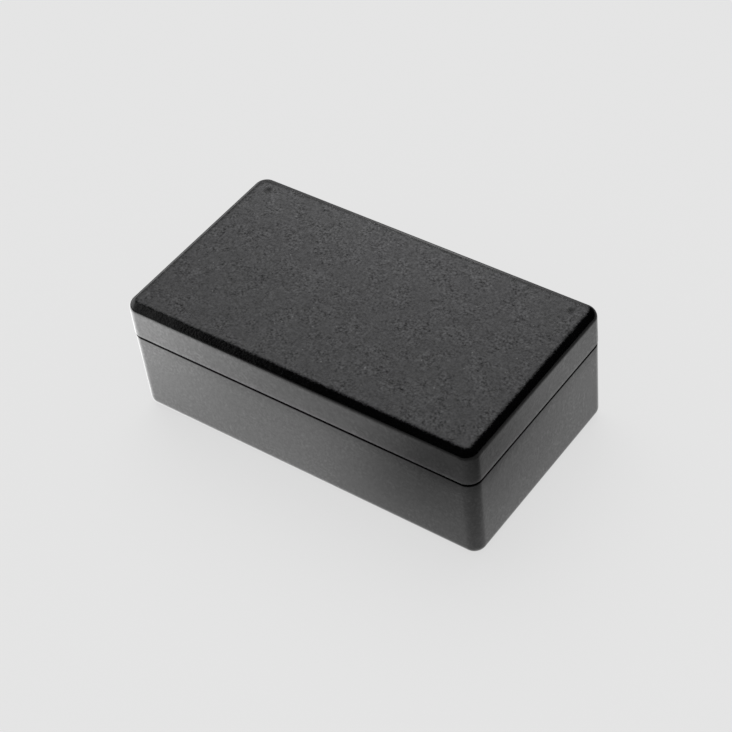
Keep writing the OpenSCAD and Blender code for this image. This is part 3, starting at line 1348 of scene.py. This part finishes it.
@dataclass(frozen=True)
class View:
    """Where the camera stands and how it looks.

    Attributes:
        turn: Angle round the case from the -Y way, in degrees.
        lift: Angle above the level.
        roll: Angle about the line of sight.
        distance: Distance from the frame's origin, in mm.
        aim: Shift to the camera's right and up, in mm.
        lens: Focal length in mm.
        sensor: Width of the sensor in mm.
        clip: Nearest and farthest distance that it shows, in metres.
    """

    turn: float = 40.962
    lift: float = 44.439
    roll: float = -7.691
    distance: float = 449.15
    aim: Pair = (-1.320, 8.903)
    lens: float = 99.43
    sensor: float = 36.0
    clip: Pair = (0.01, 20.0)

    def camera(self) -> None:
        """Places the camera and makes it the scene's own."""
        turn, lift, roll = (math.radians(angle) for angle in (self.turn, self.lift, self.roll))
        back = np.array([math.sin(turn) * math.cos(lift), -math.cos(turn) * math.cos(lift), math.sin(lift)])
        level = np.array([math.cos(turn), math.sin(turn), 0.0])
        upright = np.cross(back, level)
        right = math.cos(roll) * level + math.sin(roll) * upright
        up = -math.sin(roll) * level + math.cos(roll) * upright
        place = self.aim[0] * right + self.aim[1] * up + self.distance * back
        data = bpy.data.cameras.new("camera")
        data.sensor_width = self.sensor
        data.lens = self.lens
        data.clip_start, data.clip_end = self.clip
        bpy.context.scene.camera = placed("camera", data, (right, up, back), place * MM)


@dataclass(frozen=True)
class Surroundings:
    """What gloss sees round the case: a low wall behind with a bright strip, and two to the left.

    Each fade is (from, to, tone at from, tone at to), by how far a direction points that way.

    Attributes:
        back_way: Way to the wall behind.
        left_way: Way to the left.
        front_way: Way to the front.
        back_wall: Fade of the wall behind, towards it.
        back_end: Fade of that wall, towards the left.
        strip_near: Rise of the strip, towards the left.
        strip_far: Fall of the strip, towards the left.
        strip_back: Fade that keeps the strip to the wall behind.
        left_wall: Fade of the wall on the left.
        dim_wall: Fade of a dimmer wall on the left.
        dim_end: Fade of that wall, towards the front.
    """

    back_way: Triple = (-0.30, 0.95, 0.0)
    left_way: Triple = (-1.0, 0.0, 0.0)
    front_way: Triple = (0.0, -1.0, 0.0)
    back_wall: Fade = (0.45, 0.95, 0.002, 0.5)
    back_end: Fade = (0.15, 0.36, 0.0, 1.0)
    strip_near: Fade = (0.40, 0.455, 0.0, 0.8)
    strip_far: Fade = (0.455, 0.51, 0.8, 0.0)
    strip_back: Fade = (0.80, 0.86, 0.0, 1.0)
    left_wall: Fade = (0.70, 0.84, 0.0, 1.1)
    dim_wall: Fade = (0.53, 0.58, 0.0, 0.4)
    dim_end: Fade = (-0.30, -0.05, 0.0, 1.0)

    def tone(self, wire: Wiring) -> Socket:
        """Works out the tone in each direction: the brightest of what stands there.

        Args:
            wire: Wiring of the world.

        Returns:
            The tone.
        """
        way = wire.node("ShaderNodeTexCoord").outputs["Generated"]
        ways = (self.back_way, self.left_way, self.front_way)
        behind, left, front = (wire.vector("DOT_PRODUCT", way, part).outputs["Value"] for part in ways)
        rise = wire.spread(left, *self.strip_near)
        fall = wire.spread(left, *self.strip_far)
        strip = wire.math("MULTIPLY", wire.math("MINIMUM", rise, fall), wire.spread(behind, *self.strip_back))
        back_end = wire.spread(left, *self.back_end)
        back = wire.math("MULTIPLY_ADD", wire.spread(behind, *self.back_wall), back_end, strip)
        dim = wire.math("MULTIPLY", wire.spread(left, *self.dim_wall), wire.spread(front, *self.dim_end))
        sides = wire.math("MAXIMUM", dim, wire.spread(left, *self.left_wall))
        return wire.math("MAXIMUM", back, sides)


@dataclass(frozen=True)
class Pool:
    """A soft pool of light or shade on the floor, as gloss sees it.

    Attributes:
        x: Middle of the pool along the case, in mm.
        y: Middle of the pool across the case, in mm.
        reach: Distance in mm at which it has fallen to six tenths.
        amount: What it adds at its middle, negative for shade.
    """

    x: float
    y: float
    reach: float
    amount: float


@dataclass
class Studio:
    """Pale floor, soft light and camera.

    Attributes:
        lit: Pieces that the strip lamp lights.
        view: Where the camera stands.
        around: What gloss sees round the case.
        paleness: Linear tone of the background.
        shadow_share: Share of the floor's look that takes the object's shadow.
        ambient: Even light on matt surfaces.
        floor_half: Half width of the floor in mm.
        floor_drop: Depth of the floor under the case in mm, so that the two never coincide.
        floor_colour: Linear tone of the floor where light falls on it.
        floor_far: Tone of the floor that gloss sees away from every pool.
        floor_least: Least tone of the floor that gloss sees.
        pools: Glow close round the case, light beyond its left end, shade before the lid's near
            end, shade off the end face's near corner and light behind that face.
        sun: Strength of the broad lamp.
        sun_angle: How broad it is, in degrees.
        sun_way: Way to it.
        strip: Power of the strip lamp in watts.
        strip_size: Its length and height in metres.
        strip_place: Where it hangs, in metres.
        strip_aim: Place over the middle of the case that it is aimed at, in metres.
    """

    lit: list[bpy.types.Object]
    view: View = View()
    around: Surroundings = Surroundings()
    paleness: float = 0.783
    shadow_share: float = 0.15
    ambient: float = 0.5
    floor_half: float = 3000.0
    floor_drop: float = 0.02
    floor_colour: float = 0.85
    floor_far: float = 0.2
    floor_least: float = 0.02
    pools: tuple[Pool, ...] = (
        Pool(8.0, -12.0, 32.0, 1.15),
        Pool(-95.0, -45.0, 40.0, 3.4),
        Pool(20.0, -40.0, 12.0, -0.55),
        Pool(75.0, -5.0, 15.0, -0.25),
        Pool(60.0, 40.0, 20.0, 0.5),
    )
    sun: float = 1.6
    sun_angle: float = 60.0
    sun_way: Triple = (-0.40, 0.42, 0.81)
    strip: float = 0.12
    strip_size: Pair = (0.12, 0.02)
    strip_place: Triple = (-0.012, 0.080, 0.068)
    strip_aim: Triple = (0.0, 0.0, 0.03)

    def world(self) -> None:
        """Sets the surroundings.

        The camera sees the pale background, matt surfaces get an even light, and gloss sees what
        stands round the case.
        """
        world = bpy.data.worlds.new("studio")
        bpy.context.scene.world = world
        world.use_nodes = True
        wire = Wiring(world.node_tree)
        background = world.node_tree.nodes["Background"]
        rays = wire.node("ShaderNodeLightPath")
        others = wire.chosen(wire.shiny(rays), self.ambient, self.around.tone(wire))
        seen = wire.chosen(rays.outputs["Is Camera Ray"], others, self.paleness)
        wire.feed(background.inputs["Color"], WHITE)
        wire.feed(background.inputs["Strength"], seen)

    def floor_tone(self, wire: Wiring) -> Socket:
        """Works out the floor's tone as gloss sees it.

        It is the far tone plus every pool's amount * exp(-(d / reach)^2 / 2), where d is the
        distance to the pool's middle, and never under the least tone.

        Args:
            wire: Wiring of the floor's material.

        Returns:
            The tone.
        """
        here = wire.here()
        tone: object = self.floor_far
        for pool in self.pools:
            away = wire.vector("DISTANCE", here, (pool.x * MM, pool.y * MM, 0.0)).outputs["Value"]
            share = wire.math("DIVIDE", away, pool.reach * MM)
            fall = wire.math("EXPONENT", wire.math("MULTIPLY", wire.math("MULTIPLY", share, share), -0.5))
            tone = wire.math("MULTIPLY_ADD", fall, pool.amount, tone)
        return wire.math("MAXIMUM", tone, self.floor_least)

    def floor_material(self) -> bpy.types.Material:
        """Builds the floor's material.

        The camera sees a pale tone with a share of the real shadow, gloss sees the pools, and all
        other light falls on a plain matt surface.

        Returns:
            The material.
        """
        material = bpy.data.materials.new("pale_floor")
        material.use_nodes = True
        material.node_tree.nodes.clear()
        wire = Wiring(material.node_tree)
        rays = wire.node("ShaderNodeLightPath")
        lit = wire.node("ShaderNodeBsdfDiffuse", {"Color": (*[self.floor_colour] * 3, 1.0)})
        pale = wire.node("ShaderNodeEmission", {"Color": WHITE, "Strength": self.paleness})
        mirrored = wire.node("ShaderNodeEmission", {"Strength": self.floor_tone(wire)})
        seen = wire.layered(self.shadow_share, pale.outputs[0], lit.outputs[0])
        others = wire.layered(wire.shiny(rays), lit.outputs[0], mirrored.outputs[0])
        last = wire.layered(rays.outputs["Is Camera Ray"], others, seen)
        wire.node("ShaderNodeOutputMaterial", {"Surface": last})
        return material

    def floor(self) -> None:
        """Lays the floor a hair below the case."""
        half = self.floor_half
        level = -self.floor_drop
        corners = [(-half, -half, level), (half, -half, level), (half, half, level), (-half, half, level)]
        data = bpy.data.meshes.new("floor")
        data.from_pydata(corners, [], [(0, 1, 2, 3)])
        data.transform(Matrix.Scale(MM, 4))
        data.materials.append(self.floor_material())
        made = bpy.data.objects.new("floor", data)
        bpy.context.scene.collection.objects.link(made)

    def broad_lamp(self) -> None:
        """Hangs a broad soft lamp high behind the case, to the left."""
        data = bpy.data.lights.new("soft_lamp", "SUN")
        data.energy = self.sun
        data.angle = math.radians(self.sun_angle)
        made = placed("soft_lamp", data, facing(np.array(self.sun_way), (0.0, 1.0, 0.0)), np.zeros(3))
        made.visible_glossy = False

    def strip_lamp(self) -> None:
        """Hangs a small soft lamp low behind the case, to the left, that lights only the case."""
        data = bpy.data.lights.new("strip_lamp", "AREA")
        data.energy = self.strip
        data.shape = "RECTANGLE"
        data.size, data.size_y = self.strip_size
        place = np.array(self.strip_place)
        made = placed("strip_lamp", data, facing(place - np.array(self.strip_aim), (0.0, 0.0, 1.0)), place)
        made.visible_glossy = False
        made.visible_camera = False
        group = bpy.data.collections.new("lit_by_strip")
        for piece in self.lit:
            group.objects.link(piece)
        made.light_linking.receiver_collection = group

    def build(self) -> None:
        """Sets up the camera, the surroundings, the floor and the lamps."""
        self.view.camera()
        self.world()
        self.floor()
        self.broad_lamp()
        self.strip_lamp()
        bpy.context.scene.view_settings.view_transform = "Standard"


def main() -> None:
    """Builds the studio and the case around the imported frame."""
    logging.basicConfig(level=logging.INFO, format="%(name)s: %(message)s")
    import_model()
    effects = Effects()
    sizes = CaseSizes()
    base = Base(sizes, ShellFinish("shell_base")).build(effects)
    screws = CaseScrews(sizes, ScrewFinish("screw_zinc")).build(effects)
    panel = (sizes.turn_x, sizes.turn_y, PANEL_REACH, sizes.height - PANEL_DROP)
    # Places of the sink marks, over which the lid's finish paints shade.
    sinks = (sizes.screw_x, sizes.screw_y, sizes.sink_r)
    lid = Lid(sizes, ShellFinish("shell_lid", panel=panel, sinks=sinks)).build(effects)
    Studio(lit=[base, screws, lid]).build()


if __name__ == "__main__":
    main()
